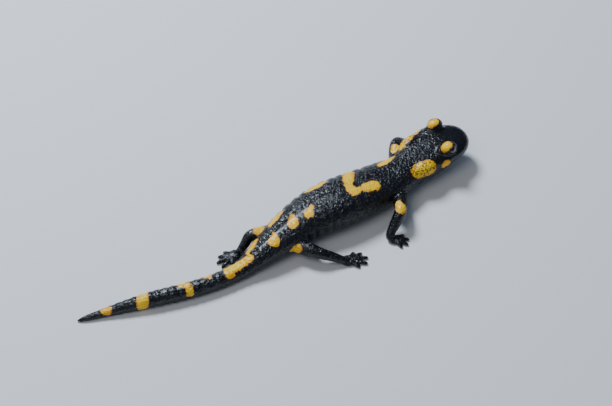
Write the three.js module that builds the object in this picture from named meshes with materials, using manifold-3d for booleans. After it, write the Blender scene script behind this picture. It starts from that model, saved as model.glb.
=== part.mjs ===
// A fire salamander at life size, walking, as a still model: one named mesh for each part of the body.
// Units are millimetres, +Z is up, +X runs along the trunk towards the head, +Y is the animal's left.
// The body is measured along its spine: s is the distance back from the tip of the snout.
import * as THREE from "three";
import { mergeVertices } from "three/addons/utils/BufferGeometryUtils.js";
import Module from "manifold-3d";

const wasm = await Module();
wasm.setup();

// Driving dimensions of the animal
const SNOUT_TO_VENT = 105;
const TAIL_LENGTH = 80;
const BODY_LENGTH = SNOUT_TO_VENT + TAIL_LENGTH;
const GAP = 0.3;

// Places along the spine
const EYES_AT = 11.8;
const JAW_CORNER_AT = 17.5;
const GLANDS_AT = 23;
const NAPE_AT = 31;
const NECK_AT = 33;
const NECK_END_AT = 36.5;
const SHOULDERS_AT = 41;
const MIDDLE_AT = 67;
const HIPS_AT = 94;
const TAIL_EVEN_FROM = 121;
const TAIL_MIDDLE_AT = 132;
const TAIL_EVEN_TO = 152;
const TAIL_TIP_AT = 160;

// Sizes of the head
const EYE_RADIUS = 2.4;
const LID_RADIUS = 3.0;
const EYE_ACROSS = 7.5;
const EYE_UP = 5.2;
const MOUTH_UP = -0.8;
const SNOUT_ROUNDING = 9;

// Sizes of the relief on the trunk and tail
const COSTAL_PITCH = 4.2;
const COSTAL_FIRST_AT = 12 * COSTAL_PITCH;
const COSTAL_GROOVES = 10;
const COSTAL_DEPTH = 0.5;
const SPINE_FURROW_DEPTH = 0.35;
const TAIL_RING_PITCH = 3.2;
const TAIL_RING_DEPTH = 0.18;
const THROAT_FOLD_AT = 29;
const THROAT_FOLD_DEPTH = 0.6;

// Mesh fineness
const HEAD_SIDES = 28;
const TRUNK_SIDES = 24;
const TAIL_SIDES = 16;
const HEAD_STEP = 1.3;
const TRUNK_STEP = COSTAL_PITCH / 3;
const TAIL_STEP = TAIL_RING_PITCH / 2;
const LIMB_SIDES = 12;
const LIMB_STEPS = 18;
const DIGIT_SIDES = 7;
const DIGIT_STEPS = 8;
const SPINE_STEP = 0.5;

const degrees = THREE.MathUtils.degToRad;
const lerp = THREE.MathUtils.lerp;
const smoothstep = THREE.MathUtils.smoothstep;

// A smooth curve through [place, value] knots, with no overshoot between them
function through(knots) {
  const rise = knots.slice(1).map(([x, v], i) => (v - knots[i][1]) / (x - knots[i][0]));
  const slope = knots.map((knot, i) => {
    const before = rise[Math.max(i - 1, 0)];
    const after = rise[Math.min(i, rise.length - 1)];
    return before * after > 0 ? (2 * before * after) / (before + after) : 0;
  });
  return (x) => {
    const at = THREE.MathUtils.clamp(x, knots[0][0], knots[knots.length - 1][0]);
    let i = 0;
    while (i < knots.length - 2 && at > knots[i + 1][0]) i += 1;
    const [x0, v0] = knots[i];
    const [x1, v1] = knots[i + 1];
    const width = x1 - x0;
    const t = (at - x0) / width;
    const u = 1 - t;
    return (
      v0 * u * u * (1 + 2 * t) +
      v1 * t * t * (3 - 2 * t) +
      width * t * u * (slope[i] * u - slope[i + 1] * t)
    );
  };
}

// Which way the body points along its spine, in degrees turned to the left of +X
const heading = through([
  [0, -18],
  [11, -16],
  [20, 2],
  [27, 9],
  [36, 3],
  [44, -5],
  [56, -6],
  [MIDDLE_AT, -9],
  [80, -2.5],
  [HIPS_AT, 7],
  [104, 6],
  [114, 1],
  [127, -11],
  [150, -21],
  [BODY_LENGTH, -19],
]);

// Half of the body's width, without the glands
const halfWidth = through([
  [0, 7.6],
  [7, 9.0],
  [15, 11.0],
  [GLANDS_AT, 10.5],
  [NECK_AT, 8.6],
  [SHOULDERS_AT, 9.8],
  [MIDDLE_AT, 11.4],
  [HIPS_AT, 8.0],
  [106, 5.7],
  [114, 4.2],
  [TAIL_EVEN_FROM, 3.5],
  [TAIL_EVEN_TO, 3.3],
  [165, 2.6],
  [175, 1.7],
  [BODY_LENGTH, 0.9],
]);

// Height of the back over the body's widest line
const topHeight = through([
  [0, 3.7],
  [EYES_AT, 4.9],
  [GLANDS_AT, 6.0],
  [NECK_AT, 6.0],
  [MIDDLE_AT, 7.6],
  [HIPS_AT, 6.0],
  [106, 4.8],
  [114, 3.9],
  [TAIL_EVEN_FROM, 3.5],
  [TAIL_EVEN_TO, 3.3],
  [165, 2.6],
  [175, 1.7],
  [BODY_LENGTH, 0.9],
]);

// Depth of the belly under the body's widest line
const underDepth = through([
  [0, 2.8],
  [EYES_AT, 3.8],
  [GLANDS_AT, 4.8],
  [NECK_AT, 5.4],
  [MIDDLE_AT, 7.4],
  [HIPS_AT, 5.8],
  [106, 4.7],
  [114, 3.9],
  [TAIL_EVEN_FROM, 3.5],
  [TAIL_EVEN_TO, 3.3],
  [165, 2.6],
  [175, 1.7],
  [BODY_LENGTH, 0.9],
]);

// Height of the underside over the floor; the tail is let into the floor a little and cut flat there
const clearance = through([
  [0, 7.6],
  [EYES_AT, 5.8],
  [GLANDS_AT, 3.2],
  [NECK_AT, 2.0],
  [MIDDLE_AT, 1.2],
  [106, 1.1],
  [117, -0.3],
  [BODY_LENGTH, -0.3],
]);

// How square the body's section is: 2 is an ellipse
const squareness = through([
  [0, 2.3],
  [GLANDS_AT, 2.6],
  [NECK_AT, 2.2],
  [MIDDLE_AT, 2.3],
  [BODY_LENGTH, 2],
]);

// The spine in plan, walked back from the snout in short steps
const SNOUT = new THREE.Vector2(72, -18.9);
const spinePlan = [SNOUT];
for (let s = 0; s < BODY_LENGTH; s += SPINE_STEP) {
  const turn = degrees(heading(s + SPINE_STEP / 2));
  const last = spinePlan[spinePlan.length - 1];
  spinePlan.push(new THREE.Vector2(
    last.x - SPINE_STEP * Math.cos(turn),
    last.y - SPINE_STEP * Math.sin(turn),
  ));
}

// How far the rounded ends have opened out, from 0 at the tips to 1
function rounding(s) {
  const snout = Math.min(s / SNOUT_ROUNDING, 1);
  const lips = Math.min(s / 5, 1);
  const tail = Math.min((BODY_LENGTH - s) / 5, 1);
  const plan = (1 - (1 - snout) ** 2.4) ** (1 / 2.1);
  const profile = (1 - (1 - lips) ** 2.2) ** (1 / 2.1);
  const tip = (1 - (1 - tail) ** 2) ** 0.5;
  return { across: plan * tip, up: profile * tip };
}

// A point beside the spine: across to the animal's left, and up from the body's widest line
function bodyPoint(s, across, up) {
  const place = s / SPINE_STEP;
  const i = THREE.MathUtils.clamp(Math.floor(place), 0, spinePlan.length - 2);
  const plan = spinePlan[i].clone().lerp(spinePlan[i + 1], place - i);
  const turn = degrees(heading(s));
  return new THREE.Vector3(
    plan.x - across * Math.sin(turn),
    plan.y + across * Math.cos(turn),
    clearance(s) + underDepth(s) + up,
  );
}

// Grooves and folds in the skin, as a height that is under 0 in a groove
function relief(s, angle) {
  const side = Math.abs(Math.sin(angle));
  const below = Math.max(-Math.cos(angle), 0);
  const groove = (s - COSTAL_FIRST_AT) / COSTAL_PITCH;
  const onRibs = groove > -0.5 && groove < COSTAL_GROOVES - 0.5;
  const costal = onRibs ? Math.cos(Math.PI * groove) ** 4 * smoothstep(side, 0.45, 0.85) : 0;
  const midline = Math.exp(-((angle / 0.22) ** 2));
  const furrow = midline * smoothstep(s, NECK_AT, SHOULDERS_AT) * (1 - smoothstep(s, HIPS_AT, 120));
  const onTail = smoothstep(s, SNOUT_TO_VENT, 112) * (1 - smoothstep(s, 168, 178));
  const ring = Math.cos((Math.PI * s) / TAIL_RING_PITCH) ** 2 * onTail;
  const throat = Math.exp(-(((s - THROAT_FOLD_AT) / 0.9) ** 2)) * smoothstep(below, 0, 0.5);
  return -(
    COSTAL_DEPTH * costal +
    SPINE_FURROW_DEPTH * furrow +
    TAIL_RING_DEPTH * ring +
    THROAT_FOLD_DEPTH * throat
  );
}

// One ring of the body's skin, from the back round over the left side; grow moves it outwards
function bodyRing(s, sides, grow = 0) {
  const power = 2 / squareness(s);
  const open = rounding(s);
  const ring = [];
  for (let side = 0; side < sides; side += 1) {
    const raw = (side / sides) * 2 * Math.PI;
    const angle = raw > Math.PI ? raw - 2 * Math.PI : raw;
    const sin = Math.sin(raw);
    const cos = Math.cos(raw);
    const out = grow + relief(s, angle);
    const height = cos > 0 ? topHeight(s) : underDepth(s);
    ring.push(bodyPoint(
      s,
      Math.sign(sin) * Math.abs(sin) ** power * (halfWidth(s) * open.across + out),
      Math.sign(cos) * Math.abs(cos) ** power * (height * open.up + out),
    ));
  }
  return ring;
}

// A closed skin over a row of rings, with flat ends
function loft(rings) {
  const sides = rings[0].length;
  const points = rings.flat();
  const faces = [];
  for (let ring = 0; ring < rings.length - 1; ring += 1) {
    for (let side = 0; side < sides; side += 1) {
      const a = ring * sides + side;
      const b = ring * sides + ((side + 1) % sides);
      faces.push(a, b, a + sides, b, b + sides, a + sides);
    }
  }
  const middle = (ring) =>
    ring.reduce((sum, p) => sum.add(p), new THREE.Vector3()).divideScalar(sides);
  const first = points.push(middle(rings[0])) - 1;
  const last = points.push(middle(rings[rings.length - 1])) - 1;
  const start = (rings.length - 1) * sides;
  for (let side = 0; side < sides; side += 1) {
    const next = (side + 1) % sides;
    faces.push(first, next, side, last, start + side, start + next);
  }
  const geometry = new THREE.BufferGeometry().setFromPoints(points);
  geometry.setIndex(faces);
  return geometry;
}

// A geometry as a solid that can be joined and cut
function solid(geometry) {
  const plain = new THREE.BufferGeometry();
  plain.setAttribute("position", geometry.getAttribute("position"));
  plain.setIndex(geometry.getIndex());
  const merged = mergeVertices(plain, 1e-4);
  return new wasm.Manifold(new wasm.Mesh({
    numProp: 3,
    vertProperties: merged.getAttribute("position").array,
    triVerts: new Uint32Array(merged.getIndex().array),
  }));
}

// The separate closed surfaces of a solid, the largest first
function pieces(made) {
  return made.decompose().sort((a, b) => b.volume() - a.volume());
}

// Rings of the body from one place to another, at whole multiples of the step between them
function bodyRings(from, to, sides, step, grow = 0) {
  const places = [from];
  for (let k = Math.ceil(from / step + 0.3); k * step < to - 0.3 * step; k += 1) places.push(k * step);
  places.push(to);
  return places.map((s) => bodyRing(s, sides, grow));
}

// A length of the body, standing back from its two ends by half the gap between parts
function bodyLength(from, to, sides, step) {
  return solid(loft(bodyRings(from + GAP / 2, to - GAP / 2, sides, step)));
}

// An ellipsoid with its own half sizes along, across and up, set on the body and turned with it
function ellipsoidAt(s, across, up, halves, turn = 0, fine = 18) {
  const geometry = new THREE.SphereGeometry(1, fine, Math.round(fine * 0.6));
  geometry.scale(...halves);
  geometry.rotateZ(degrees(heading(s) + turn));
  const place = bodyPoint(s, across, up);
  geometry.translate(place.x, place.y, place.z);
  return solid(geometry);
}

// Everything above the floor
function aboveFloor(made) {
  return made.trimByPlane([0, 0, 1], 0);
}

// The head and lower jaw

// Rings of the head, closer together where the snout rounds over
function headRings() {
  const rounded = [0.02, 0.12, 0.35, 0.8, 1.4, 2.1, 3, 4, 5.2];
  const snout = rounded.slice(0, -1).map((s) => bodyRing(s, HEAD_SIDES));
  return snout.concat(bodyRings(rounded[rounded.length - 1], NAPE_AT - GAP / 2, HEAD_SIDES, HEAD_STEP));
}

// The raised oval gland behind each eye; the turned head carries the right one further back
function gland(side, grow = 0) {
  const halves = [6.8 + grow, 4.2 + grow, 4.2 + grow];
  return ellipsoidAt(GLANDS_AT + 1.5 - side * 2.4, side * 6.2, 2, halves, side * 9 - 8);
}

// The mound of lid over each eye
function lid(side) {
  return ellipsoidAt(EYES_AT + 0.4, side * 7.0, 5.4, [LID_RADIUS + 0.5, LID_RADIUS, LID_RADIUS]);
}

// The hollow that the eye sits in, with the slit between the lids in front of it
function eyeHollow(side) {
  const ball = EYE_RADIUS + GAP;
  const hollow = ellipsoidAt(EYES_AT, side * EYE_ACROSS, EYE_UP, [ball, ball, ball]);
  const slit = ellipsoidAt(
    EYES_AT - 0.3,
    side * (EYE_ACROSS + 2.4),
    EYE_UP - 0.1,
    [2.2, 2.6, 1.5],
    side * -12,
    14,
  );
  return hollow.add(slit);
}

function nostril(side) {
  return ellipsoidAt(1.3, side * 2.9, 1.7, [0.9, 0.45, 0.4], side * 40, 10);
}

// A thin sheet along the mouth that turns down behind the jaw
function mouthCut() {
  const reach = 15;
  const deep = -9;
  const line = (s) => MOUTH_UP - 0.5 * Math.sin((Math.PI * s) / JAW_CORNER_AT);
  const bar = (s, low, high) => [
    bodyPoint(s, reach, high),
    bodyPoint(s, reach, low),
    bodyPoint(s, -reach, low),
    bodyPoint(s, -reach, high),
  ];
  const rings = [];
  for (let i = 0; i <= 8; i += 1) {
    const s = lerp(-1, JAW_CORNER_AT + GAP / 2, i / 8);
    rings.push(bar(s, line(s) - GAP / 2, line(s) + GAP / 2));
  }
  const top = line(JAW_CORNER_AT) + GAP / 2;
  const back = [bar(JAW_CORNER_AT - GAP / 2, deep, top), bar(JAW_CORNER_AT + GAP / 2, deep, top)];
  return solid(loft(rings)).add(solid(loft(back)));
}

function headAndJaw() {
  let head = solid(loft(headRings()));
  for (const side of [1, -1]) head = head.add(gland(side)).add(lid(side));
  for (const side of [1, -1]) head = head.subtract(eyeHollow(side)).subtract(nostril(side));
  const turn = degrees(heading(NAPE_AT));
  const forward = new THREE.Vector3(Math.cos(turn), Math.sin(turn), 0);
  head = head.trimByPlane(forward.toArray(), forward.dot(bodyPoint(NAPE_AT - GAP / 2, 0, 0)));
  const [skull, jaw] = pieces(head.subtract(mouthCut()));
  return { head: skull, lower_jaw: jaw };
}

function eye(side) {
  return ellipsoidAt(EYES_AT, side * EYE_ACROSS, EYE_UP, [EYE_RADIUS, EYE_RADIUS, EYE_RADIUS], 0, 16);
}

// The limbs

// The point reached from another by a bone, turned out from straight ahead and ending at a height
function boneEnd(from, side, bone) {
  const fall = bone.height - from.z;
  const run = Math.sqrt(Math.max(bone.length ** 2 - fall ** 2, 0));
  const turn = degrees(bone.toward);
  return new THREE.Vector3(
    from.x + run * Math.cos(turn),
    from.y + run * side * Math.sin(turn),
    bone.height,
  );
}

// A round tube along a path, with its radius as a function of the share of the way
function tube(path, radius, sides, steps) {
  const frames = path.computeFrenetFrames(steps, false);
  const rings = [];
  for (let i = 0; i <= steps; i += 1) {
    const middle = path.getPointAt(i / steps);
    const size = radius(i / steps);
    const ring = [];
    for (let side = 0; side < sides; side += 1) {
      const angle = (side / sides) * 2 * Math.PI;
      ring.push(middle.clone()
        .addScaledVector(frames.normals[i], size * Math.cos(angle))
        .addScaledVector(frames.binormals[i], size * Math.sin(angle)));
    }
    rings.push(ring);
  }
  return solid(loft(rings));
}

// A finger or toe: a stub with a round tip that lies along the floor
function digit(palm, turn, reach, radius) {
  const forward = new THREE.Vector3(Math.cos(turn), Math.sin(turn), 0);
  const tip = palm.clone().addScaledVector(forward, reach).setZ(radius * 0.62);
  const knuckle = palm.clone().addScaledVector(forward, reach * 0.55).setZ(radius * 1.15);
  const path = new THREE.CatmullRomCurve3([palm.clone().setZ(1.1), knuckle, tip]);
  const size = (share) => {
    const rounded = Math.sqrt(1 - Math.max(0, (share - 0.8) / 0.2002) ** 2);
    return radius * lerp(1.15, 0.8, share) * Math.max(rounded, 0.2);
  };
  return tube(path, size, DIGIT_SIDES, DIGIT_STEPS);
}

// The flat of the hand or foot with its digits, the first on the inner side
function handOrFoot(wrist, side, plan) {
  const turn = degrees(plan.toward) * side;
  const forward = new THREE.Vector3(Math.cos(turn), Math.sin(turn), 0);
  const palm = wrist.clone().addScaledVector(forward, plan.palm[0] * 0.75).setZ(0.95);
  const geometry = new THREE.SphereGeometry(1, 14, 9);
  geometry.scale(...plan.palm);
  geometry.rotateZ(turn);
  geometry.translate(palm.x, palm.y, palm.z);
  const digits = plan.digits.map(([spread, reach]) =>
    digit(palm, turn + degrees(spread) * side, plan.palm[0] * 0.7 + reach, plan.digitRadius));
  return { palm, made: digits.reduce((sum, one) => sum.add(one), solid(geometry)) };
}

// Keeps the part of a limb between two cuts across its path
function between(made, from, to) {
  let kept = made;
  if (from) kept = kept.trimByPlane(from.tangent.toArray(), from.tangent.dot(from.point) + GAP / 2);
  if (to) {
    const back = to.tangent.clone().negate();
    kept = kept.trimByPlane(back.toArray(), back.dot(to.point) + GAP / 2);
  }
  return pieces(kept)[0];
}

// The thickness of a limb over the share of its way, with its joints at two of those shares
function limbRadius([thick, joint, calf, thin], [middle, end]) {
  return through([
    [0, thick],
    [middle * 0.6, thick],
    [middle, joint],
    [lerp(middle, end, 0.4), calf],
    [end, thin],
    [1, thin * 0.7],
  ]);
}

// The body and its neck glands, a little larger, so that what is cut by them stands clear of them
const bodyForCutting = solid(loft(bodyRings(EYES_AT, 125, TRUNK_SIDES, TRUNK_STEP, GAP)))
  .add(gland(1, GAP))
  .add(gland(-1, GAP));

// A whole limb from its root in the body, cut at its middle joint and at its wrist or ankle
function limb(plan, names) {
  const root = bodyPoint(plan.at, plan.side * plan.rootAcross, plan.rootUp);
  const middle = boneEnd(root, plan.side, plan.upper);
  const wrist = boneEnd(middle, plan.side, plan.lower);
  const hand = handOrFoot(wrist, plan.side, plan.hand);
  const path = new THREE.CatmullRomCurve3([
    root,
    root.clone().lerp(middle, 0.5),
    middle,
    middle.clone().lerp(wrist, 0.55),
    wrist,
    hand.palm,
  ]);
  const bones = [root.distanceTo(middle), middle.distanceTo(wrist), wrist.distanceTo(hand.palm)];
  const total = bones[0] + bones[1] + bones[2];
  const shares = [bones[0] / total, (bones[0] + bones[1]) / total];
  const bare = tube(path, limbRadius(plan.radii, shares), LIMB_SIDES, LIMB_STEPS);
  const whole = aboveFloor(bare.add(hand.made)).subtract(bodyForCutting);
  const [first, second] = shares.map((share) =>
    ({ point: path.getPointAt(share), tangent: path.getTangentAt(share) }));
  return {
    [names[0]]: between(whole, null, first),
    [names[1]]: between(whole, first, second),
    [names[2]]: between(whole, second, null),
  };
}

// Each finger or toe, the inner one first: its spread in degrees and its length
const FINGERS = [[-42, 3.2], [-14, 4.6], [12, 4.8], [40, 3.6]];
const TOES = [[-46, 3.2], [-22, 5.2], [0, 6.6], [22, 6.4], [46, 4.0]];
const HAND = { palm: [2.6, 2.4, 1.2], digits: FINGERS, digitRadius: 0.85 };
const FOOT = { palm: [3.0, 2.7, 1.25], digits: TOES, digitRadius: 0.88 };
const ARM = { rootAcross: 7, rootUp: -1, radii: [2.9, 2.5, 2.3, 1.6] };
const LEG = { rootAcross: 5, rootUp: -1, radii: [3.0, 2.4, 2.1, 1.6] };

const rightArm = {
  ...ARM,
  at: SHOULDERS_AT,
  side: -1,
  upper: { length: 12, toward: 128, height: 8.8 },
  lower: { length: 11.5, toward: 156, height: 2.2 },
  hand: { ...HAND, toward: 50 },
};
const leftArm = {
  ...ARM,
  at: SHOULDERS_AT - 7,
  side: 1,
  rootAcross: 5.2,
  upper: { length: 12.5, toward: 46, height: 8 },
  lower: { length: 10, toward: 0, height: 2.2 },
  hand: { ...HAND, toward: -5 },
};
const rightLeg = {
  ...LEG,
  at: HIPS_AT,
  side: -1,
  upper: { length: 11.5, toward: 60, height: 5.6 },
  lower: { length: 10.5, toward: 42, height: 2.1 },
  hand: { ...FOOT, toward: 24 },
};
const leftLeg = {
  ...LEG,
  at: HIPS_AT + 1,
  side: 1,
  upper: { length: 9.8, toward: 160, height: 6.2 },
  lower: { length: 7.5, toward: 190, height: 2.1 },
  hand: { ...FOOT, toward: 172 },
};

const solids = {
  ...headAndJaw(),
  eye_left: eye(1),
  eye_right: eye(-1),
  neck: bodyLength(NAPE_AT, NECK_END_AT, HEAD_SIDES, HEAD_STEP),
  torso: bodyLength(NECK_END_AT, SNOUT_TO_VENT, TRUNK_SIDES, TRUNK_STEP),
  tail_base: bodyLength(SNOUT_TO_VENT, TAIL_MIDDLE_AT, TAIL_SIDES, TAIL_STEP),
  tail_middle: bodyLength(TAIL_MIDDLE_AT, TAIL_TIP_AT, TAIL_SIDES, TAIL_STEP),
  tail_tip: bodyLength(TAIL_TIP_AT, BODY_LENGTH, TAIL_SIDES, TAIL_STEP),
  ...limb(rightArm, ["upper_arm_right", "forearm_right", "hand_right"]),
  ...limb(leftArm, ["upper_arm_left", "forearm_left", "hand_left"]),
  ...limb(rightLeg, ["thigh_right", "shank_right", "foot_right"]),
  ...limb(leftLeg, ["thigh_left", "shank_left", "foot_left"]),
};

const SKIN = new THREE.MeshStandardMaterial({ color: 0x0c0c10, roughness: 0.28, metalness: 0 });
const EYE = new THREE.MeshStandardMaterial({ color: 0x060404, roughness: 0.05, metalness: 0 });

// A solid, cut flat at the floor, as a mesh that three.js can show
function meshOf(name, made) {
  const { vertProperties, triVerts } = aboveFloor(made).getMesh();
  const geometry = new THREE.BufferGeometry();
  geometry.setAttribute("position", new THREE.BufferAttribute(vertProperties, 3));
  geometry.setIndex(new THREE.BufferAttribute(triVerts, 1));
  const mesh = new THREE.Mesh(geometry, name.startsWith("eye") ? EYE : SKIN);
  mesh.name = name;
  return mesh;
}

const salamander = new THREE.Group();
for (const [name, made] of Object.entries(solids)) salamander.add(meshOf(name, made));

// The origin is the middle of the animal's box, on the floor
const box = new THREE.Box3().setFromObject(salamander);
const middle = box.getCenter(new THREE.Vector3());
salamander.position.set(-middle.x, -middle.y, -box.min.z);

export default salamander;
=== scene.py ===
import bmesh
import bpy
import numpy as np
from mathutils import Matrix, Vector


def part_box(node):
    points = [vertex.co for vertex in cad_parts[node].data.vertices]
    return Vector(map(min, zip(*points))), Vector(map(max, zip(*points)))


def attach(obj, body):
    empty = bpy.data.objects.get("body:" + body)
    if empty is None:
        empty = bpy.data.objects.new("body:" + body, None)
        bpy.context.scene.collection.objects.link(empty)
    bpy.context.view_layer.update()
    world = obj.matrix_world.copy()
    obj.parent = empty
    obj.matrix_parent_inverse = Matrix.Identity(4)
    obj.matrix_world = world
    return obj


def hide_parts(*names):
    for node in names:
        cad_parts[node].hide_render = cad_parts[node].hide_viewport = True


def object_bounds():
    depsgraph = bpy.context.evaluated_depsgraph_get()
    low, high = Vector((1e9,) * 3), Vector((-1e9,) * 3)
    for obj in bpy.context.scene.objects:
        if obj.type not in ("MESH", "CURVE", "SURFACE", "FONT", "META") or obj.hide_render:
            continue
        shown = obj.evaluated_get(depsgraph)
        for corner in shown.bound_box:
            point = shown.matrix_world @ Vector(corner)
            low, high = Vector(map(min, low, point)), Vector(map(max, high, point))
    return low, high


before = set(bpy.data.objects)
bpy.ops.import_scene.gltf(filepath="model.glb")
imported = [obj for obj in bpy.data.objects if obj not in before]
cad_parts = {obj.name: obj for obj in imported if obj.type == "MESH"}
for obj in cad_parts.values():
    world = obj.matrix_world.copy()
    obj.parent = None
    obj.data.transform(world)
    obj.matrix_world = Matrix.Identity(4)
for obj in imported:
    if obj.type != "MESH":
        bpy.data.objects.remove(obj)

cad_box = [list(corner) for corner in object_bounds()]


# The body: one soft skin over a low, broad trunk, a flat head with a blunt snout, and a round tail.
# It is bare, wet skin with no scales, and it grows into the limbs without an edge anywhere.
# Sizes are in millimetres; s is the distance back from the tip of the snout along the spine.

BODY_LENGTH = 185
EYES_AT = 11.8
GLANDS_AT = 23
NECK_AT = 33
SHOULDERS_AT = 41
MIDDLE_AT = 67
HIPS_AT = 94
TAIL_ROOT_AT = 106
SNOUT = (72, -18.9)
SNOUT_ROUND = 9
LIPS_ROUND = 5
TIP_ROUND = 5
SPINE_STEP = 0.5


def through(*knots):
    """A smooth curve through (place, value) knots. Between two knots it is the cubic that meets both
    values and leaves each with the harmonic mean of the rises on its two sides, or level at a turn."""
    place, value = np.array(knots, float).T
    rise = np.diff(value) / np.diff(place)
    before, after = rise[:-1], rise[1:]
    inner = np.divide(2 * before * after, before + after, out=np.zeros_like(before),
                      where=before * after > 0)
    slope = np.concatenate([rise[:1], inner, rise[-1:]])

    def curve(x):
        x = np.clip(x, place[0], place[-1])
        i = np.clip(np.searchsorted(place, x) - 1, 0, len(place) - 2)
        width = place[i + 1] - place[i]
        t = (x - place[i]) / width
        u = 1 - t
        ends = value[i] * u * u * (1 + 2 * t) + value[i + 1] * t * t * (3 - 2 * t)
        return ends + width * t * u * (slope[i] * u - slope[i + 1] * t)

    return curve


# Which way the body points along the spine, in degrees turned to the left of +X
heading = through((0, -18), (11, -16), (20, 2), (27, 9), (36, 3), (44, -5), (56, -6),
                  (MIDDLE_AT, -9), (80, -2.5), (HIPS_AT, 7), (104, 6), (114, 1), (127, -11),
                  (150, -21), (BODY_LENGTH, -19))

# Half its width, its height above the widest line and its depth below it; the tail is round
round_tail = ((121, 3.5), (152, 3.3), (165, 2.6), (175, 1.7), (BODY_LENGTH, 0.9))
half_width = through((0, 7.6), (7, 9.0), (15, 11.0), (GLANDS_AT, 10.5), (NECK_AT, 8.6),
                     (SHOULDERS_AT, 9.8), (MIDDLE_AT, 11.4), (HIPS_AT, 8.0),
                     (TAIL_ROOT_AT, 5.7), (114, 4.2), *round_tail)
top_height = through((0, 3.7), (EYES_AT, 4.9), (GLANDS_AT, 6.0), (NECK_AT, 6.0),
                     (MIDDLE_AT, 7.6), (HIPS_AT, 6.0), (TAIL_ROOT_AT, 4.8), (114, 3.9),
                     *round_tail)
under_depth = through((0, 2.8), (EYES_AT, 3.8), (GLANDS_AT, 4.8), (NECK_AT, 5.4),
                      (MIDDLE_AT, 7.4), (HIPS_AT, 5.8), (TAIL_ROOT_AT, 4.7), (114, 3.9),
                      *round_tail)

# The height of the underside over the floor, under 0 where the tail lies pressed flat on it
clearance = through((0, 7.6), (EYES_AT, 5.8), (GLANDS_AT, 3.2), (NECK_AT, 2.0),
                    (MIDDLE_AT, 1.2), (TAIL_ROOT_AT, 1.1), (117, -0.3), (BODY_LENGTH, -0.3))

# How square a section is: 2 is an ellipse
squareness = through((0, 2.3), (GLANDS_AT, 2.6), (NECK_AT, 2.2), (MIDDLE_AT, 2.3),
                     (BODY_LENGTH, 2))

# The spine in plan, walked back from the snout in short steps
spine_at = np.arange(0, BODY_LENGTH + SPINE_STEP, SPINE_STEP)
step_turn = np.radians(heading(spine_at[:-1] + SPINE_STEP / 2))
spine_x = SNOUT[0] - np.concatenate([[0], np.cumsum(SPINE_STEP * np.cos(step_turn))])
spine_y = SNOUT[1] - np.concatenate([[0], np.cumsum(SPINE_STEP * np.sin(step_turn))])


def on_body(s, across, up):
    """The spine's point at s, moved across along its left-hand normal; its height is the clearance
    under the belly, plus the belly's depth, plus up."""
    s, across, up = np.broadcast_arrays(s, across, up)
    turn = np.radians(heading(s))
    x = np.interp(s, spine_at, spine_x) - across * np.sin(turn)
    y = np.interp(s, spine_at, spine_y) + across * np.cos(turn)
    return np.stack([x, y, clearance(s) + under_depth(s) + up], -1)


def opened(s):
    """How far the two ends have opened out: rounded powers of the share of the snout in plan and of
    the lips in profile, and a quarter circle over the tip of the tail."""
    snout = np.clip(s / SNOUT_ROUND, 0, 1)
    lips = np.clip(s / LIPS_ROUND, 0, 1)
    tail = np.clip((BODY_LENGTH - s) / TIP_ROUND, 0, 1)
    tip = (1 - (1 - tail) ** 2) ** 0.5
    return (1 - (1 - snout) ** 2.4) ** (1 / 2.1) * tip, (1 - (1 - lips) ** 2.2) ** (1 / 2.1) * tip


def body_surface(s, angle):
    """A rounded box section: sine and cosine of the angle, each to the power 2 over the squareness,
    times the half width and the height above or depth below. Angle 0 is the back, and + is left."""
    wide, high = opened(s)
    power = 2 / squareness(s)
    sine, cosine = np.sin(angle), np.cos(angle)
    height = np.where(cosine > 0, top_height(s), under_depth(s))
    return on_body(s, np.sign(sine) * np.abs(sine) ** power * half_width(s) * wide,
                   np.sign(cosine) * np.abs(cosine) ** power * height * high)


def shell(grid, shells):
    """Adds the points and faces of a closed skin over a grid of rings to the shells: four-sided
    faces between neighbouring rings, and one face over each end."""
    rings, sides = grid.shape[:2]
    first = sum(len(made) for made, _ in shells)
    at = np.arange(rings * sides).reshape(rings, sides) + first
    right = np.roll(at, -1, axis=1)
    quads = np.stack([at[:-1], right[:-1], right[1:], at[1:]], -1).reshape(-1, 4)
    shells.append((grid.reshape(-1, 3), quads.tolist() + [at[0, ::-1].tolist(), at[-1].tolist()]))


# The rings of the body stand closer together where the snout and the tip of the tail round over.
SNOUT_FINE_TO = 4
along = np.concatenate([0.02 + SNOUT_FINE_TO * np.linspace(0, 1, 24, endpoint=False) ** 2,
                        np.arange(SNOUT_FINE_TO + 0.02, BODY_LENGTH - TIP_ROUND, SPINE_STEP),
                        BODY_LENGTH - TIP_ROUND * np.linspace(1, 0.04, 24) ** 2])
around = np.linspace(0, 2 * np.pi, 96, endpoint=False)
flesh = []
shell(body_surface(*np.meshgrid(along, around, indexing="ij")), flesh)


# The glands and lids: behind each eye a long kidney-shaped poison gland swells the side of the head,
# and over each eye the lids stand up as a round mound. Both are skin, raised by what is under it.
# A lower mound under each lid joins it to the top of the head.

GLAND_HALVES = (6.8, 4.2, 4.2)
LID_HALVES = (3.5, 3.0, 3.0)
UNDER_LID_HALVES = (5.2, 3.5, 3.1)


def ellipsoid(halves, sides, rings):
    """An ellipsoid about 0: its half sizes along, across and up, times the sine and cosine of an
    angle around and of an angle down from the top. Its rings run from the bottom to the top."""
    around, down = np.meshgrid(np.linspace(0, 2 * np.pi, sides, endpoint=False),
                               np.linspace(np.pi - 0.01, 0.01, rings))
    return np.stack([halves[0] * np.sin(down) * np.cos(around),
                     halves[1] * np.sin(down) * np.sin(around), halves[2] * np.cos(down)], -1)


def turned(points, bearing):
    """Points turned in plan about 0: x and y mixed by the cosine and sine of a bearing in radians."""
    x, y, z = np.moveaxis(points, -1, 0)
    return np.stack([x * np.cos(bearing) - y * np.sin(bearing),
                     x * np.sin(bearing) + y * np.cos(bearing), z], -1)


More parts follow.
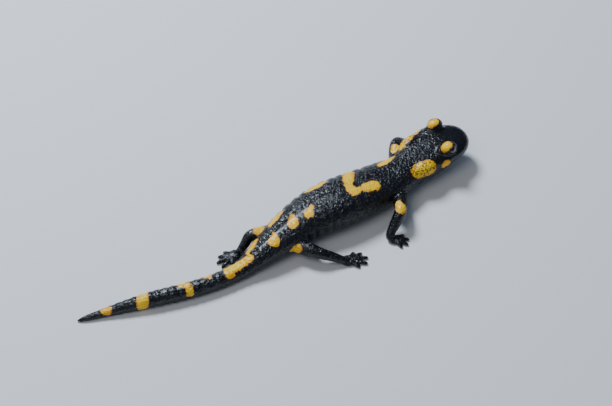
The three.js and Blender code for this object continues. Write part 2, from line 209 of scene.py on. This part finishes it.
def mound(s, across, up, halves, turn):
    """An ellipsoid on the body, turned in plan by the body's heading plus its own turn in degrees."""
    return on_body(s, across, up) + turned(ellipsoid(halves, 48, 32), np.radians(heading(s) + turn))


for side in (1, -1):
    shell(mound(GLANDS_AT + 1.5 - side * 2.4, side * 6.2, 2, GLAND_HALVES, side * 9 - 8), flesh)
    shell(mound(EYES_AT + 0.4, side * 7.0, 5.4, LID_HALVES, 0), flesh)
    shell(mound(EYES_AT + 1.0, side * 5.8, 3.2, UNDER_LID_HALVES, side * -8), flesh)


# The limbs: short and sturdy, held out sideways, each bent once and ending in a flat soft palm.
# The hand has four fingers and the foot five toes, all of them stubs without claws or webs.

# Radii over the upper bone, the bend, the swell below it and the wrist
ARM = (2.9, 2.5, 2.3, 1.6)
LEG = (3.0, 2.4, 2.1, 1.6)

# The spread in degrees of each digit, the inner one first, and how far it reaches past the palm
FINGERS = ((-42, 3.2), (-14, 4.6), (12, 4.8), (40, 3.6))
TOES = ((-46, 3.2), (-22, 5.2), (0, 6.6), (22, 6.4), (46, 4.0))

# The half sizes of the palm, its digits, and their radius
HAND = ((2.6, 2.4, 1.2), FINGERS, 0.85)
FOOT = ((3.0, 2.7, 1.25), TOES, 0.88)

PALM_UP = 0.95
DIGIT_ROOT_UP = 1.1
DIGIT_RINGS = 24
LIMB_RINGS = 60


def bone_end(start, side, length, toward, height):
    """The end of a bone: it comes down to a height, and what is left of its length runs level,
    turned out from straight ahead by toward degrees on the animal's own side."""
    run = np.sqrt(max(length ** 2 - (height - start[2]) ** 2, 0))
    bearing = np.radians(toward)
    return np.array([start[0] + run * np.cos(bearing),
                     start[1] + run * side * np.sin(bearing), height])


def smooth_path(corners, count):
    """A curve through the corners, each span a cubic whose ends run along the chord between the
    corners on either side, then set out again in count even steps of its length."""
    corners = np.array(corners)
    chord = np.concatenate([corners[1:2] - corners[:1], (corners[2:] - corners[:-2]) / 2,
                            corners[-1:] - corners[-2:-1]])
    t = np.linspace(0, 1, 40, endpoint=False)[:, None]
    u = 1 - t
    spans = [corners[i] * u * u * (1 + 2 * t) + corners[i + 1] * t * t * (3 - 2 * t)
             + t * u * (chord[i] * u - chord[i + 1] * t) for i in range(len(corners) - 1)]
    line = np.concatenate(spans + [corners[-1:]])
    gone = np.concatenate([[0], np.cumsum(np.linalg.norm(np.diff(line, axis=0), axis=1))])
    even = np.linspace(0, gone[-1], count)
    return np.stack([np.interp(even, gone, line[:, k]) for k in range(3)], -1)


def round_tube(path, radius, sides):
    """Circles of the given radius across a path: the cosine of an angle along the level direction at
    right angles to the path, less its sine along the upward one."""
    ahead = np.gradient(path, axis=0)
    ahead /= np.linalg.norm(ahead, axis=1)[:, None]
    level = np.cross(ahead, [0, 0, 1])
    level /= np.linalg.norm(level, axis=1)[:, None]
    upward = np.cross(level, ahead)
    angle = np.linspace(0, 2 * np.pi, sides, endpoint=False)[None, :, None]
    return path[:, None] + radius[:, None, None] * (level[:, None] * np.cos(angle)
                                                    - upward[:, None] * np.sin(angle))


def digit(palm, bearing, reach, radius):
    """A finger: a tube from the palm over its knuckle to its tip. It gets evenly thinner, times a
    quarter circle over its last fifth, which closes it."""
    ahead = np.array([np.cos(bearing), np.sin(bearing), 0])
    level = palm * [1, 1, 0]
    path = smooth_path([level + [0, 0, DIGIT_ROOT_UP],
                        level + ahead * reach * 0.55 + [0, 0, radius * 1.15],
                        level + ahead * reach + [0, 0, radius * 0.62]], DIGIT_RINGS)
    share = np.linspace(0, 1, DIGIT_RINGS)
    rounded = np.sqrt(1 - np.clip((share - 0.8) / 0.201, 0, 0.99) ** 2)
    return round_tube(path, radius * (1.15 - 0.35 * share) * rounded, 16)


def limb(root, side, upper, lower, radii, sole, toward):
    """A tube from the root in the body over its one bend to the wrist and into the palm, a flat
    ellipsoid for the palm, and a tube for each digit. A bone is its length, the way that it points
    and the height of its end. Returns the root and the bend."""
    palm_halves, digits, digit_radius = sole
    bend = bone_end(root, side, *upper)
    wrist = bone_end(bend, side, *lower)
    bearing = np.radians(toward) * side
    ahead = np.array([np.cos(bearing), np.sin(bearing), 0])
    palm = wrist * [1, 1, 0] + ahead * palm_halves[0] * 0.75 + [0, 0, PALM_UP]
    corners = [root, (root + bend) / 2, bend, bend * 0.45 + wrist * 0.55, wrist, palm]
    bones = np.cumsum([np.linalg.norm(bend - root), np.linalg.norm(wrist - bend),
                       np.linalg.norm(palm - wrist)])
    middle, end = bones[:2] / bones[2]
    thick, joint, calf, thin = radii
    radius = through((0, thick), (middle * 0.6, thick), (middle, joint),
                     (middle * 0.6 + end * 0.4, calf), (end, thin), (1, thin * 0.7))
    shell(round_tube(smooth_path(corners, LIMB_RINGS), radius(np.linspace(0, 1, LIMB_RINGS)), 32),
          flesh)
    shell(palm + turned(ellipsoid(palm_halves, 32, 20), bearing), flesh)
    for spread, reach in digits:
        shell(digit(palm, bearing + np.radians(spread) * side, palm_halves[0] * 0.7 + reach,
                    digit_radius), flesh)
    return root, bend


limb(on_body(SHOULDERS_AT, -7, -1), -1, upper=(12, 128, 8.8), lower=(11.5, 156, 2.2),
     radii=ARM, sole=HAND, toward=50)
left_shoulder, left_elbow = limb(on_body(SHOULDERS_AT - 7, 5.2, -1), 1, upper=(12.5, 46, 8),
                                 lower=(10, 0, 2.2), radii=ARM, sole=HAND, toward=-5)
limb(on_body(HIPS_AT, -5, -1), -1, upper=(11.5, 60, 5.6), lower=(10.5, 42, 2.1),
     radii=LEG, sole=FOOT, toward=24)
left_hip, left_knee = limb(on_body(HIPS_AT + 1, 5, -1), 1, upper=(9.8, 160, 6.2),
                           lower=(7.5, 190, 2.1), radii=LEG, sole=FOOT, toward=172)


# The skin: the shells above grown together into one, drawn tight over bone and muscle. Ribs mark
# its sides with upright grooves, and the mouth, lids and nostrils are folds and openings in it.

SKIN_FINENESS = 0.37
SMOOTHING_ROUNDS = 12
JAW_CORNER_AT = 17.5
THROAT_FOLD_AT = 29
NECK_FOLD_AT = 34.5
FIRST_GROOVE_AT = 50.4
GROOVE_SPACING = 4.2
GROOVES = 10
VENT_AT = 105
TAIL_RING_SPACING = 3.2
NOSTRIL_AT = 0.9
EYE_ACROSS = 7.5
EYE_UP = 5.2
EYE_RADIUS = 2.4
LID_OVER_BALL = 0.42
SKIN_UNDER_BALL = 0.35


def mesh_object(name, points, faces):
    """A new object whose mesh has these points and faces, in the scene's collection."""
    mesh = bpy.data.meshes.new(name)
    mesh.from_pydata(np.asarray(points).tolist(), [], faces)
    made = bpy.data.objects.new(name, mesh)
    bpy.context.scene.collection.objects.link(made)
    return made


def read_edges(mesh):
    """The two points of each of the mesh's edges, one row each."""
    edges = np.empty(len(mesh.edges) * 2, int)
    mesh.edges.foreach_get("vertices", edges)
    return edges.reshape(-1, 2)


def without_specks(mesh):
    """Takes loose specks out of a mesh: each point takes the lowest number among its neighbours'
    until none changes, and the points without the commonest number go."""
    edges = read_edges(mesh)
    number = np.arange(len(mesh.vertices))
    changing = True
    while changing:
        lower = number.copy()
        for end in (0, 1):
            np.minimum.at(lower, edges[:, end], number[edges].min(axis=1))
        lower = lower[lower]
        changing = (lower != number).any()
        number = lower
    net = bmesh.new()
    net.from_mesh(mesh)
    net.verts.ensure_lookup_table()
    loose = np.flatnonzero(number != np.bincount(number).argmax())
    bmesh.ops.delete(net, geom=[net.verts[i] for i in loose], context="VERTS")
    net.to_mesh(mesh)
    net.free()


def grown_together(name, shells, fineness):
    """One even net of faces over the outside of all the shells, this fine."""
    made = mesh_object(name, np.concatenate([points for points, _ in shells]),
                       [face for _, faces in shells for face in faces])
    remesh = made.modifiers.new("one skin", "REMESH")
    remesh.mode = "VOXEL"
    remesh.voxel_size = fineness
    evaluated = made.evaluated_get(bpy.context.evaluated_depsgraph_get())
    whole = bpy.data.meshes.new_from_object(evaluated)
    without_specks(whole)
    made.modifiers.clear()
    rough = made.data
    made.data = whole
    bpy.data.meshes.remove(rough)
    return made


def read_points(mesh):
    """The mesh's points, one row each."""
    points = np.empty(len(mesh.vertices) * 3)
    mesh.vertices.foreach_get("co", points)
    return points.reshape(-1, 3)


def write_points(mesh, points):
    """The mesh's points moved to these places."""
    mesh.vertices.foreach_set("co", np.ascontiguousarray(points, np.float32).ravel())
    mesh.update()


def read_normals(mesh):
    """The outward direction at each of the mesh's points, one row each."""
    normals = np.empty(len(mesh.vertices) * 3)
    mesh.vertex_normals.foreach_get("vector", normals)
    return normals.reshape(-1, 3)


def smoothed(points, edges, rounds, pull=0.55, push=-0.56):
    """Each point moves by pull of the way to the mean of its neighbours, then by push, which is
    about as far back, so that bumps go and thin fingers keep their thickness."""
    a, b = edges.T
    count = np.bincount(edges.ravel(), minlength=len(points))[:, None]
    for _ in range(rounds):
        for share in (pull, push):
            total = np.stack([np.bincount(a, points[b, k], len(points))
                              + np.bincount(b, points[a, k], len(points)) for k in range(3)], -1)
            points = points + share * (total / count - points)
    return points


def body_places(points):
    """Where each point is on the body: s from the nearest point of the spine in plan, then across
    and up measured from there."""
    turn = np.radians(heading(spine_at))
    places = []
    for part in np.array_split(points, 40):
        gap = (part[:, None, 0] - spine_x) ** 2 + (part[:, None, 1] - spine_y) ** 2
        i = gap.argmin(1)
        dx, dy = part[:, 0] - spine_x[i], part[:, 1] - spine_y[i]
        back = -(dx * np.cos(turn[i]) + dy * np.sin(turn[i]))
        s = spine_at[i] + np.clip(back, -SPINE_STEP, SPINE_STEP)
        across = dy * np.cos(turn[i]) - dx * np.sin(turn[i])
        places.append(np.stack([s, across, part[:, 2] - clearance(s) - under_depth(s)]))
    return np.concatenate(places, axis=1)


def rise(x, low, high):
    """0 below low, 1 above high, and three t squared less two t cubed between them."""
    t = np.clip((x - low) / (high - low), 0, 1)
    return t * t * (3 - 2 * t)


def hump(x, wide):
    """A bell: e to the minus square of x over its width."""
    return np.exp(-(x / wide) ** 2)


def folds(s, across, up):
    """How deep the skin is folded in, in millimetres: a fourth power of a cosine for the grooves
    between the ribs, its square for the rings of the tail, and bells for the furrow down the back,
    the fold under the throat, the line of the mouth and the fold of the neck."""
    level = np.where(up > 0, top_height(s), under_depth(s))
    angle = np.arctan2(across / half_width(s), up / level)
    trunk = 1 - rise(np.hypot(across / half_width(s), up / level), 1.15, 1.4)
    groove = (s - FIRST_GROOVE_AT) / GROOVE_SPACING
    grooves = np.cos(np.pi * groove) ** 4 * (groove > -0.5) * (groove < GROOVES - 0.5)
    grooves = grooves * rise(abs(np.sin(angle)), 0.4, 0.85)
    furrow = hump(angle, 0.22) * rise(s, NECK_AT, SHOULDERS_AT) * (1 - rise(s, HIPS_AT, 120))
    rings = np.cos(np.pi * s / TAIL_RING_SPACING) ** 2
    rings = rings * rise(s, VENT_AT, 112) * (1 - rise(s, 168, 178))
    throat = hump(s - THROAT_FOLD_AT, 0.9) * rise(-np.cos(angle), 0, 0.5)
    neck = hump(s - NECK_FOLD_AT + 0.25 * abs(across), 0.7) * rise(abs(np.sin(angle)), 0.5, 0.9)
    lips = hump(up + 0.8 + 0.5 * np.sin(np.pi * s / JAW_CORNER_AT), 0.3) * (s < JAW_CORNER_AT + 0.5)
    on_trunk = 0.38 * grooves + 0.4 * furrow + 0.22 * rings + 0.6 * throat + 0.3 * neck
    return trunk * on_trunk + 0.8 * lips


def warts(s, across, up):
    """How far the skin stands out over its glands, in millimetres: bells along a row on each side of
    the furrow, two to a groove of the flank, and along a row on each flank, one between grooves."""
    angle = abs(np.arctan2(across, up))
    back = rise(s, NECK_AT, 44) * (1 - rise(s, 150, 165))
    from_furrow = abs(across) - 2.7 * half_width(s) / 11
    beside = hump(from_furrow, 0.5) * hump(np.mod(s, GROOVE_SPACING / 2) - GROOVE_SPACING / 4, 0.5)
    flank = hump(angle - 1.2, 0.09) * hump(np.mod(s + 1, GROOVE_SPACING) - GROOVE_SPACING / 2, 0.8)
    return back * (0.2 * beside + 0.16 * flank)


def along_normals(mesh, points, far):
    """Every point moved along its normal by far millimetres."""
    write_points(mesh, points)
    return points + read_normals(mesh) * far[:, None]


def head_frame(s):
    """Forward, left and up for a place on the head, as the rows of a matrix."""
    turn = np.radians(heading(s))
    return np.array([[np.cos(turn), np.sin(turn), 0], [-np.sin(turn), np.cos(turn), 0], [0, 0, 1]])


def outlook(side):
    """The way an eye looks out: to its own side, and about half as far forward and up, divided by its
    length."""
    forward, left, upward = head_frame(EYES_AT)
    out = 0.42 * forward + 0.80 * side * left + 0.42 * upward
    return out / np.linalg.norm(out)


def eye_opened(points, side):
    """Skin near the eye, seen from the ball's middle along the way it looks out: inside an almond it
    drops under the ball, and round it the lids stand over the ball with a thin raised rim."""
    forward = head_frame(EYES_AT)[0]
    middle = on_body(EYES_AT, side * EYE_ACROSS, EYE_UP)
    out = outlook(side)
    level = forward - out * (forward @ out)
    level /= np.linalg.norm(level)
    above = np.cross(out, level)
    away = points - middle
    far = np.linalg.norm(away, axis=1)
    ray = away / far[:, None]
    almond = np.abs(ray @ level / 0.84) ** 1.8 + np.abs(ray @ above / 0.6) ** 1.6
    near = (ray @ out > 0.15) & (far < EYE_RADIUS + 2)
    lid = np.maximum(far, EYE_RADIUS + LID_OVER_BALL) + 0.14 * hump(almond - 1.3, 0.3)
    stands = np.where(almond < 1, EYE_RADIUS - SKIN_UNDER_BALL, lid)
    return np.where(near[:, None], middle + ray * stands[:, None], points)


def pit(points, place, wide, deep):
    """The skin drawn back and down into the head around a place: deep, times a bell this wide of the
    distance to it."""
    forward = head_frame(place[0])[0]
    share = hump(np.linalg.norm(points - on_body(*place), axis=1), wide)
    return points - share[:, None] * deep * (forward + [0, 0, 0.6])


skin = grown_together("skin", flesh, SKIN_FINENESS)
points = smoothed(read_points(skin.data), read_edges(skin.data), SMOOTHING_ROUNDS)
write_points(skin.data, points)
places = body_places(points)
points = along_normals(skin.data, points, warts(*places) - folds(*places))
for side in (1, -1):
    points = eye_opened(points, side)
    points = pit(points, (NOSTRIL_AT, side * 2.9, 1.5), 0.55, 0.8)
write_points(skin.data, points)


# The pattern: bright yellow pigment in the outer skin, in spots with soft wavy edges. They run in two
# broken rows from the glands down the back to the end of the tail, with one on each upper limb.

REACH_LIMIT = 9.0


def stroke_reach(points, start, end):
    """How far each point is outside a stroke between two places: its distance from the line between
    them, less a half width that changes evenly from one end to the other."""
    (a, wide_a), (b, wide_b) = start, end
    line = b - a
    t = np.clip((points - a) @ line / max(line @ line, 1e-9), 0, 1)
    return np.linalg.norm(points - a - t[:, None] * line, axis=1) - wide_a - t * (wide_b - wide_a)


def spots_reach(points, spots):
    """How far each point is outside the nearest stroke of any spot, up to the limit, and under 0
    inside one."""
    reach = np.full(len(points), REACH_LIMIT)
    for stops in spots:
        for start, end in zip(stops[:-1], stops[1:]):
            reach = np.minimum(reach, stroke_reach(points, start, end))
    return reach


def spot(*knots):
    """Places on the body, each s, across, up and the half width there."""
    return [(on_body(s, across, up), wide) for s, across, up, wide in knots]


def limb_spot(start, end, share, wide, long):
    """A spot on the upper side of a limb, at a share of the way along its first bone."""
    middle = start + (end - start) * share + [0, 0, 1.8]
    half = (end - start) / np.linalg.norm(end - start) * long / 2
    return [(middle - half, wide), (middle + half, wide)]


gland_spots = [
    spot((27.0, 7.6, 4.4, 1.7), (22.3, 8.2, 5.2, 1.9), (18.4, 9.6, 3.4, 1.8), (16.0, 10.3, 2.4, 1.3)),
    spot((31.6, -6.6, 4.8, 3.2), (27.8, -8.4, 5.0, 3.5)),
]
lid_and_cheek_spots = [
    spot((13.9, 6.8, 7.6, 1.9), (12.2, 6.6, 8.3, 1.8)),
    spot((14.9, -7.2, 7.4, 2.1), (13.5, -7.3, 8.2, 2.1)),
    spot((18.6, -10.8, 1.5, 1.4), (16.2, -10.8, 1.5, 1.5)),
]
left_row = [
    spot((42.4, 5.2, 5.5, 1.5), (38.0, 6.0, 4.8, 1.8), (34.0, 6.6, 4.2, 1.3)),
    spot((57.0, 7.6, 5.6, 2.2), (59.4, 4.2, 7.0, 2.4), (61.3, 0.4, 7.5, 1.8)),
    spot((77.2, 8.2, 5.4, 0.9), (72.5, 8.1, 6.1, 2.3), (67.8, 8.6, 6.0, 1.0)),
    spot((97.3, 4.9, 4.7, 1.0), (92.8, 6.2, 4.8, 2.0), (88.4, 7.0, 5.0, 1.1)),
    spot((105.4, 4.2, 3.6, 1.1), (108.8, 3.0, 3.9, 1.4), (111.5, 2.3, 3.6, 1.0)),
]
right_row = [
    spot((55.4, -3.3, 7.0, 2.3), (51.6, -3.9, 6.5, 2.4)),
    spot((61.3, -0.4, 7.5, 2.0), (61.0, -3.0, 7.1, 2.3), (57.2, -3.0, 7.1, 0.7)),
    spot((79.8, -0.6, 7.1, 1.0), (82.6, -2.7, 6.8, 2.3)),
    spot((88.2, 0.7, 6.4, 1.1), (90.5, -1.9, 6.1, 2.4)),
    spot((98.9, 0.0, 5.6, 1.0), (101.3, -2.1, 5.0, 2.4)),
]
tail_spots = [
    spot((112.6, -0.4, 3.9, 1.7), (117.5, 0.3, 3.6, 2.1), (121.8, 0.8, 3.2, 2.5),
         (122.6, -1.2, 3.1, 2.0)),
    spot((122.4, 2.8, 1.0, 1.3), (120.6, 2.4, 2.2, 1.5)),
    spot((132.0, 1.8, 2.9, 1.1), (130.2, 1.7, 3.0, 1.4)),
    spot((142.2, 1.4, 3.1, 1.5), (139.9, 0.4, 3.4, 1.6)),
    spot((139.4, -1.6, 2.8, 1.5), (139.8, -2.6, 1.5, 1.5)),
    spot((157.8, 2.0, 2.2, 2.2), (158.3, -1.2, 2.8, 2.4), (158.9, -3.0, 0.0, 2.2)),
    spot((174.2, -0.4, 1.5, 1.3), (172.2, -0.8, 1.6, 1.6)),
]
upper_limb_spots = [
    spot((47.2, -15.0, 3.2, 2.0), (47.4, -17.4, 3.4, 2.5)),
    spot((94.6, -9.1, 0.2, 1.8), (96.0, -8.8, -0.8, 2.0)),
    limb_spot(left_shoulder, left_elbow, 0.6, 2.1, 1.4),
    limb_spot(left_hip, left_knee, 0.62, 2.1, 1.6),
]
all_spots = gland_spots + lid_and_cheek_spots + left_row + right_row + tail_spots + upper_limb_spots


def add_values(mesh, name, values):
    """One number for each point of the mesh, which its material reads by this name."""
    mesh.attributes.new(name, "FLOAT", "POINT").data.foreach_set("value", np.float32(values))


add_values(skin.data, "spot", spots_reach(points, all_spots))
add_values(skin.data, "pores", 1 - rise(spots_reach(points, gland_spots), -0.6, 0.2))
# How far each point faces up: the mask for the painted bluish sheen of the sky on the wet back
add_values(skin.data, "top", rise(read_normals(skin.data)[:, 2], -0.3, 0.6))
add_values(skin.data, "grain", 0.3 + 0.7 * rise(places[0], 5, 30))

# The frame has the middle of the model at x = y = 0, and its right eye tells how far the body moves
# for that. The skin stays this far inside the model's box, which presses its soles and tail flat.
INSIDE_BOX = 0.02
eye_low, eye_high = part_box("eye_right")
shift = np.array((eye_low + eye_high) / 2) * 1000 - on_body(EYES_AT, -EYE_ACROSS, EYE_UP)
shift[2] = 0
low, high = np.array(cad_box) * 1000
points = np.clip(points + shift, low + INSIDE_BOX, high - INSIDE_BOX)
write_points(skin.data, points * 0.001)
skin.data.shade_smooth()
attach(skin, "root")
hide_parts(*[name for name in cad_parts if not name.startswith("eye")])

YELLOW = (0.95, 0.58, 0.0, 1)
ORANGE = (0.86, 0.33, 0.0, 1)
PORE = (0.09, 0.05, 0.003, 1)
BLACK = (0.003, 0.003, 0.004, 1)
# The bluish colour of the painted sheen, a painted reflection of the sky on the faces that look up
PAINTED_SHEEN_BLUE = (0.012, 0.014, 0.024, 1)


def node_maker(material):
    """A function that adds a node of a kind, sets its properties, fills its inputs with values or
    links, and gives the node back."""
    tree = material.node_tree

    def add(kind, inputs=None, **properties):
        node = tree.nodes.new("ShaderNode" + kind)
        for name, value in properties.items():
            setattr(node, name, value)
        for name, value in (inputs or {}).items():
            if isinstance(value, bpy.types.NodeSocket):
                tree.links.new(value, node.inputs[name])
            else:
                node.inputs[name].default_value = value
        return node

    return add


def mixed(add, share, first, second):
    """Two colours mixed: the first, less a share of it, plus that share of the second."""
    return add("MixRGB", {"Fac": share, "Color1": first, "Color2": second}).outputs["Color"]


def ranged(add, value, low, high, to_low=0.0, to_high=1.0):
    """A value carried evenly from one range to another, and held at its ends."""
    return add("MapRange", {"Value": value, "From Min": low, "From Max": high,
                            "To Min": to_low, "To Max": to_high}).outputs["Result"]


def plus(add, first, second):
    """The sum of two values."""
    return add("Math", {0: first, 1: second}, operation="ADD").outputs["Value"]


def times(add, first, second):
    """The product of two values."""
    return add("Math", {0: first, 1: second}, operation="MULTIPLY").outputs["Value"]


def skin_material():
    """Black with a painted bluish sheen of the sky, broken into fine grains, on the faces that look
    up, yellow where the distance to the spots plus a little noise is under 0, orange towards each
    edge, dark pores on the glands, and fine grains as a bump."""
    material = bpy.data.materials.new("spotted skin")
    material.use_nodes = True
    material.node_tree.nodes.clear()
    add = node_maker(material)
    place = add("TexCoord").outputs["Object"]
    reach, pores, top, grain = [add("Attribute", attribute_name=name).outputs["Fac"]
                                for name in ("spot", "pores", "top", "grain")]
    waver = add("TexNoise", {"Vector": place, "Scale": 620.0, "Detail": 3.0}).outputs["Fac"]
    slow = add("TexNoise", {"Vector": place, "Scale": 240.0, "Detail": 4.0}).outputs["Fac"]
    grains = add("TexVoronoi", {"Vector": place, "Scale": 1500.0},
                 feature="SMOOTH_F1").outputs["Distance"]
    dots = add("TexVoronoi", {"Vector": place, "Scale": 1000.0,
                              "Randomness": 0.7}).outputs["Distance"]

    edge = plus(add, reach, ranged(add, waver, 0.3, 0.7, -0.45, 0.45))
    yellow_share = ranged(add, edge, -0.14, 0.14, 1.0, 0.0)
    depth = plus(add, reach, ranged(add, slow, 0.3, 0.7, -0.6, 0.6))
    clear_yellow = mixed(add, ranged(add, depth, -1.1, 0.2), YELLOW, ORANGE)
    dotted = times(add, ranged(add, dots, 0.34, 0.46, 1.0, 0.0), pores)
    yellow = mixed(add, times(add, dotted, 0.9), clear_yellow, PORE)

    # Painted sheen: a bluish reflection of the sky painted in fine grains where the skin faces up
    painted_sheen = times(add, ranged(add, grains, 0.1, 0.5, 1.0, 0.0), top)
    black = mixed(add, times(add, painted_sheen, 0.6), BLACK, PAINTED_SHEEN_BLUE)
    colour = mixed(add, yellow_share, black, yellow)

    shine = ranged(add, slow, 0.3, 0.7, 0.17, 0.3)
    wet = plus(add, shine, times(add, yellow_share, 0.12))
    rough = plus(add, ranged(add, grains, 0.0, 0.6, 1.0, 0.0), ranged(add, waver, 0.2, 0.8, 0.0, 1.2))
    bump = add("Bump", {"Height": times(add, rough, grain), "Strength": 0.85,
                        "Distance": 0.0003}).outputs["Normal"]
    surface = add("BsdfPrincipled", {"Base Color": colour, "Roughness": wet, "Normal": bump,
                                     "IOR": 1.42, "Coat Weight": 0.15, "Coat Roughness": 0.1})
    add("OutputMaterial", {"Surface": surface.outputs["BSDF"]})
    return material


skin.data.materials.append(skin_material())


# The eyes: large wet balls, a black pupil in an iris of so dark a brown that the two hardly part.
# Each is held between the lids, and a film of tears lies over it.

PUPIL = (0.002, 0.002, 0.002, 1)
IRIS = (0.008, 0.005, 0.004, 1)
IRIS_FLECK = (0.03, 0.016, 0.007, 1)


def eyeball(side):
    """A ball on the body, with a number for each point that says how squarely it faces the way the
    eye looks out: the cosine of the angle between them."""
    ball = ellipsoid((EYE_RADIUS, EYE_RADIUS, EYE_RADIUS), 64, 40)
    shells = []
    shell(on_body(EYES_AT, side * EYE_ACROSS, EYE_UP) + shift + ball, shells)
    points, faces = shells[0]
    name = "left" if side > 0 else "right"
    made = mesh_object("eyeball_" + name, points * 0.001, faces)
    add_values(made.data, "facing", ball.reshape(-1, 3) @ outlook(side) / EYE_RADIUS)
    made.data.shade_smooth()
    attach(made, "root")
    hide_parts("eye_" + name)
    return made


def eye_material():
    """A black pupil where the ball faces outwards, round it a very dark brown iris with fine paler
    flecks, and a clear film of tears over both."""
    material = bpy.data.materials.new("dark eye")
    material.use_nodes = True
    material.node_tree.nodes.clear()
    add = node_maker(material)
    place = add("TexCoord").outputs["Object"]
    facing = add("Attribute", attribute_name="facing").outputs["Fac"]
    flecks = add("TexNoise", {"Vector": place, "Scale": 2500.0, "Detail": 3.0}).outputs["Fac"]
    iris = mixed(add, ranged(add, flecks, 0.45, 0.7), IRIS, IRIS_FLECK)
    colour = mixed(add, ranged(add, facing, 0.8, 0.84), iris, PUPIL)
    surface = add("BsdfPrincipled", {"Base Color": colour, "Roughness": 0.08,
                                     "Coat Weight": 1.0, "Coat Roughness": 0.03})
    add("OutputMaterial", {"Surface": surface.outputs["BSDF"]})
    return material


eye_dark = eye_material()
for side in (1, -1):
    eyeball(side).data.materials.append(eye_dark)


# The floor and the light: a pale matt floor, one soft bluish light beyond the animal, which shines on
# its wet back, a weaker warm one on the near side, and a plain surround.

FLOOR_REACH = 3

floor = mesh_object("floor", [(-FLOOR_REACH, -FLOOR_REACH, 0), (FLOOR_REACH, -FLOOR_REACH, 0),
                              (FLOOR_REACH, FLOOR_REACH, 0), (-FLOOR_REACH, FLOOR_REACH, 0)],
                    [(0, 1, 2, 3)])


def lamp(name, place, size, power, colour):
    """A round soft light of this size in metres and power in watts, turned to the origin."""
    light = bpy.data.lights.new(name, "AREA")
    light.shape = "DISK"
    light.size = size
    light.energy = power
    light.color = colour
    made = bpy.data.objects.new(name, light)
    made.location = place
    made.rotation_euler = (-Vector(place)).to_track_quat("-Z", "Y").to_euler()
    bpy.context.scene.collection.objects.link(made)


lamp("key", (0.02, 0.55, 0.75), 0.3, 11, (0.78, 0.88, 1))
lamp("fill", (-0.5, -0.1, 0.9), 0.6, 2, (1, 0.97, 0.92))

world = bpy.data.worlds.new("surround")
world.use_nodes = True
surround = world.node_tree.nodes["Background"]
surround.inputs["Color"].default_value = (0.62, 0.76, 1.0, 1)
surround.inputs["Strength"].default_value = 0.2
bpy.context.scene.world = world


# The camera: it looks down on the animal from behind its right hip, at the photograph's angle. Its
# lens is long enough that the near leg looks hardly larger than the far one.

ELEVATION = np.radians(50)
TURN = np.radians(37)
DISTANCE = 0.607

lens = bpy.data.cameras.new("view")
lens.lens = 85
lens.sensor_width = 36
camera = bpy.data.objects.new("view", lens)
target = Vector((shift[0] * 0.001, shift[1] * 0.001, 0))
back = Vector((-np.cos(ELEVATION) * np.sin(TURN), -np.cos(ELEVATION) * np.cos(TURN),
               np.sin(ELEVATION)))
camera.location = target + back * DISTANCE
camera.rotation_euler = back.to_track_quat("Z", "Y").to_euler()
bpy.context.scene.collection.objects.link(camera)
bpy.context.scene.camera = camera
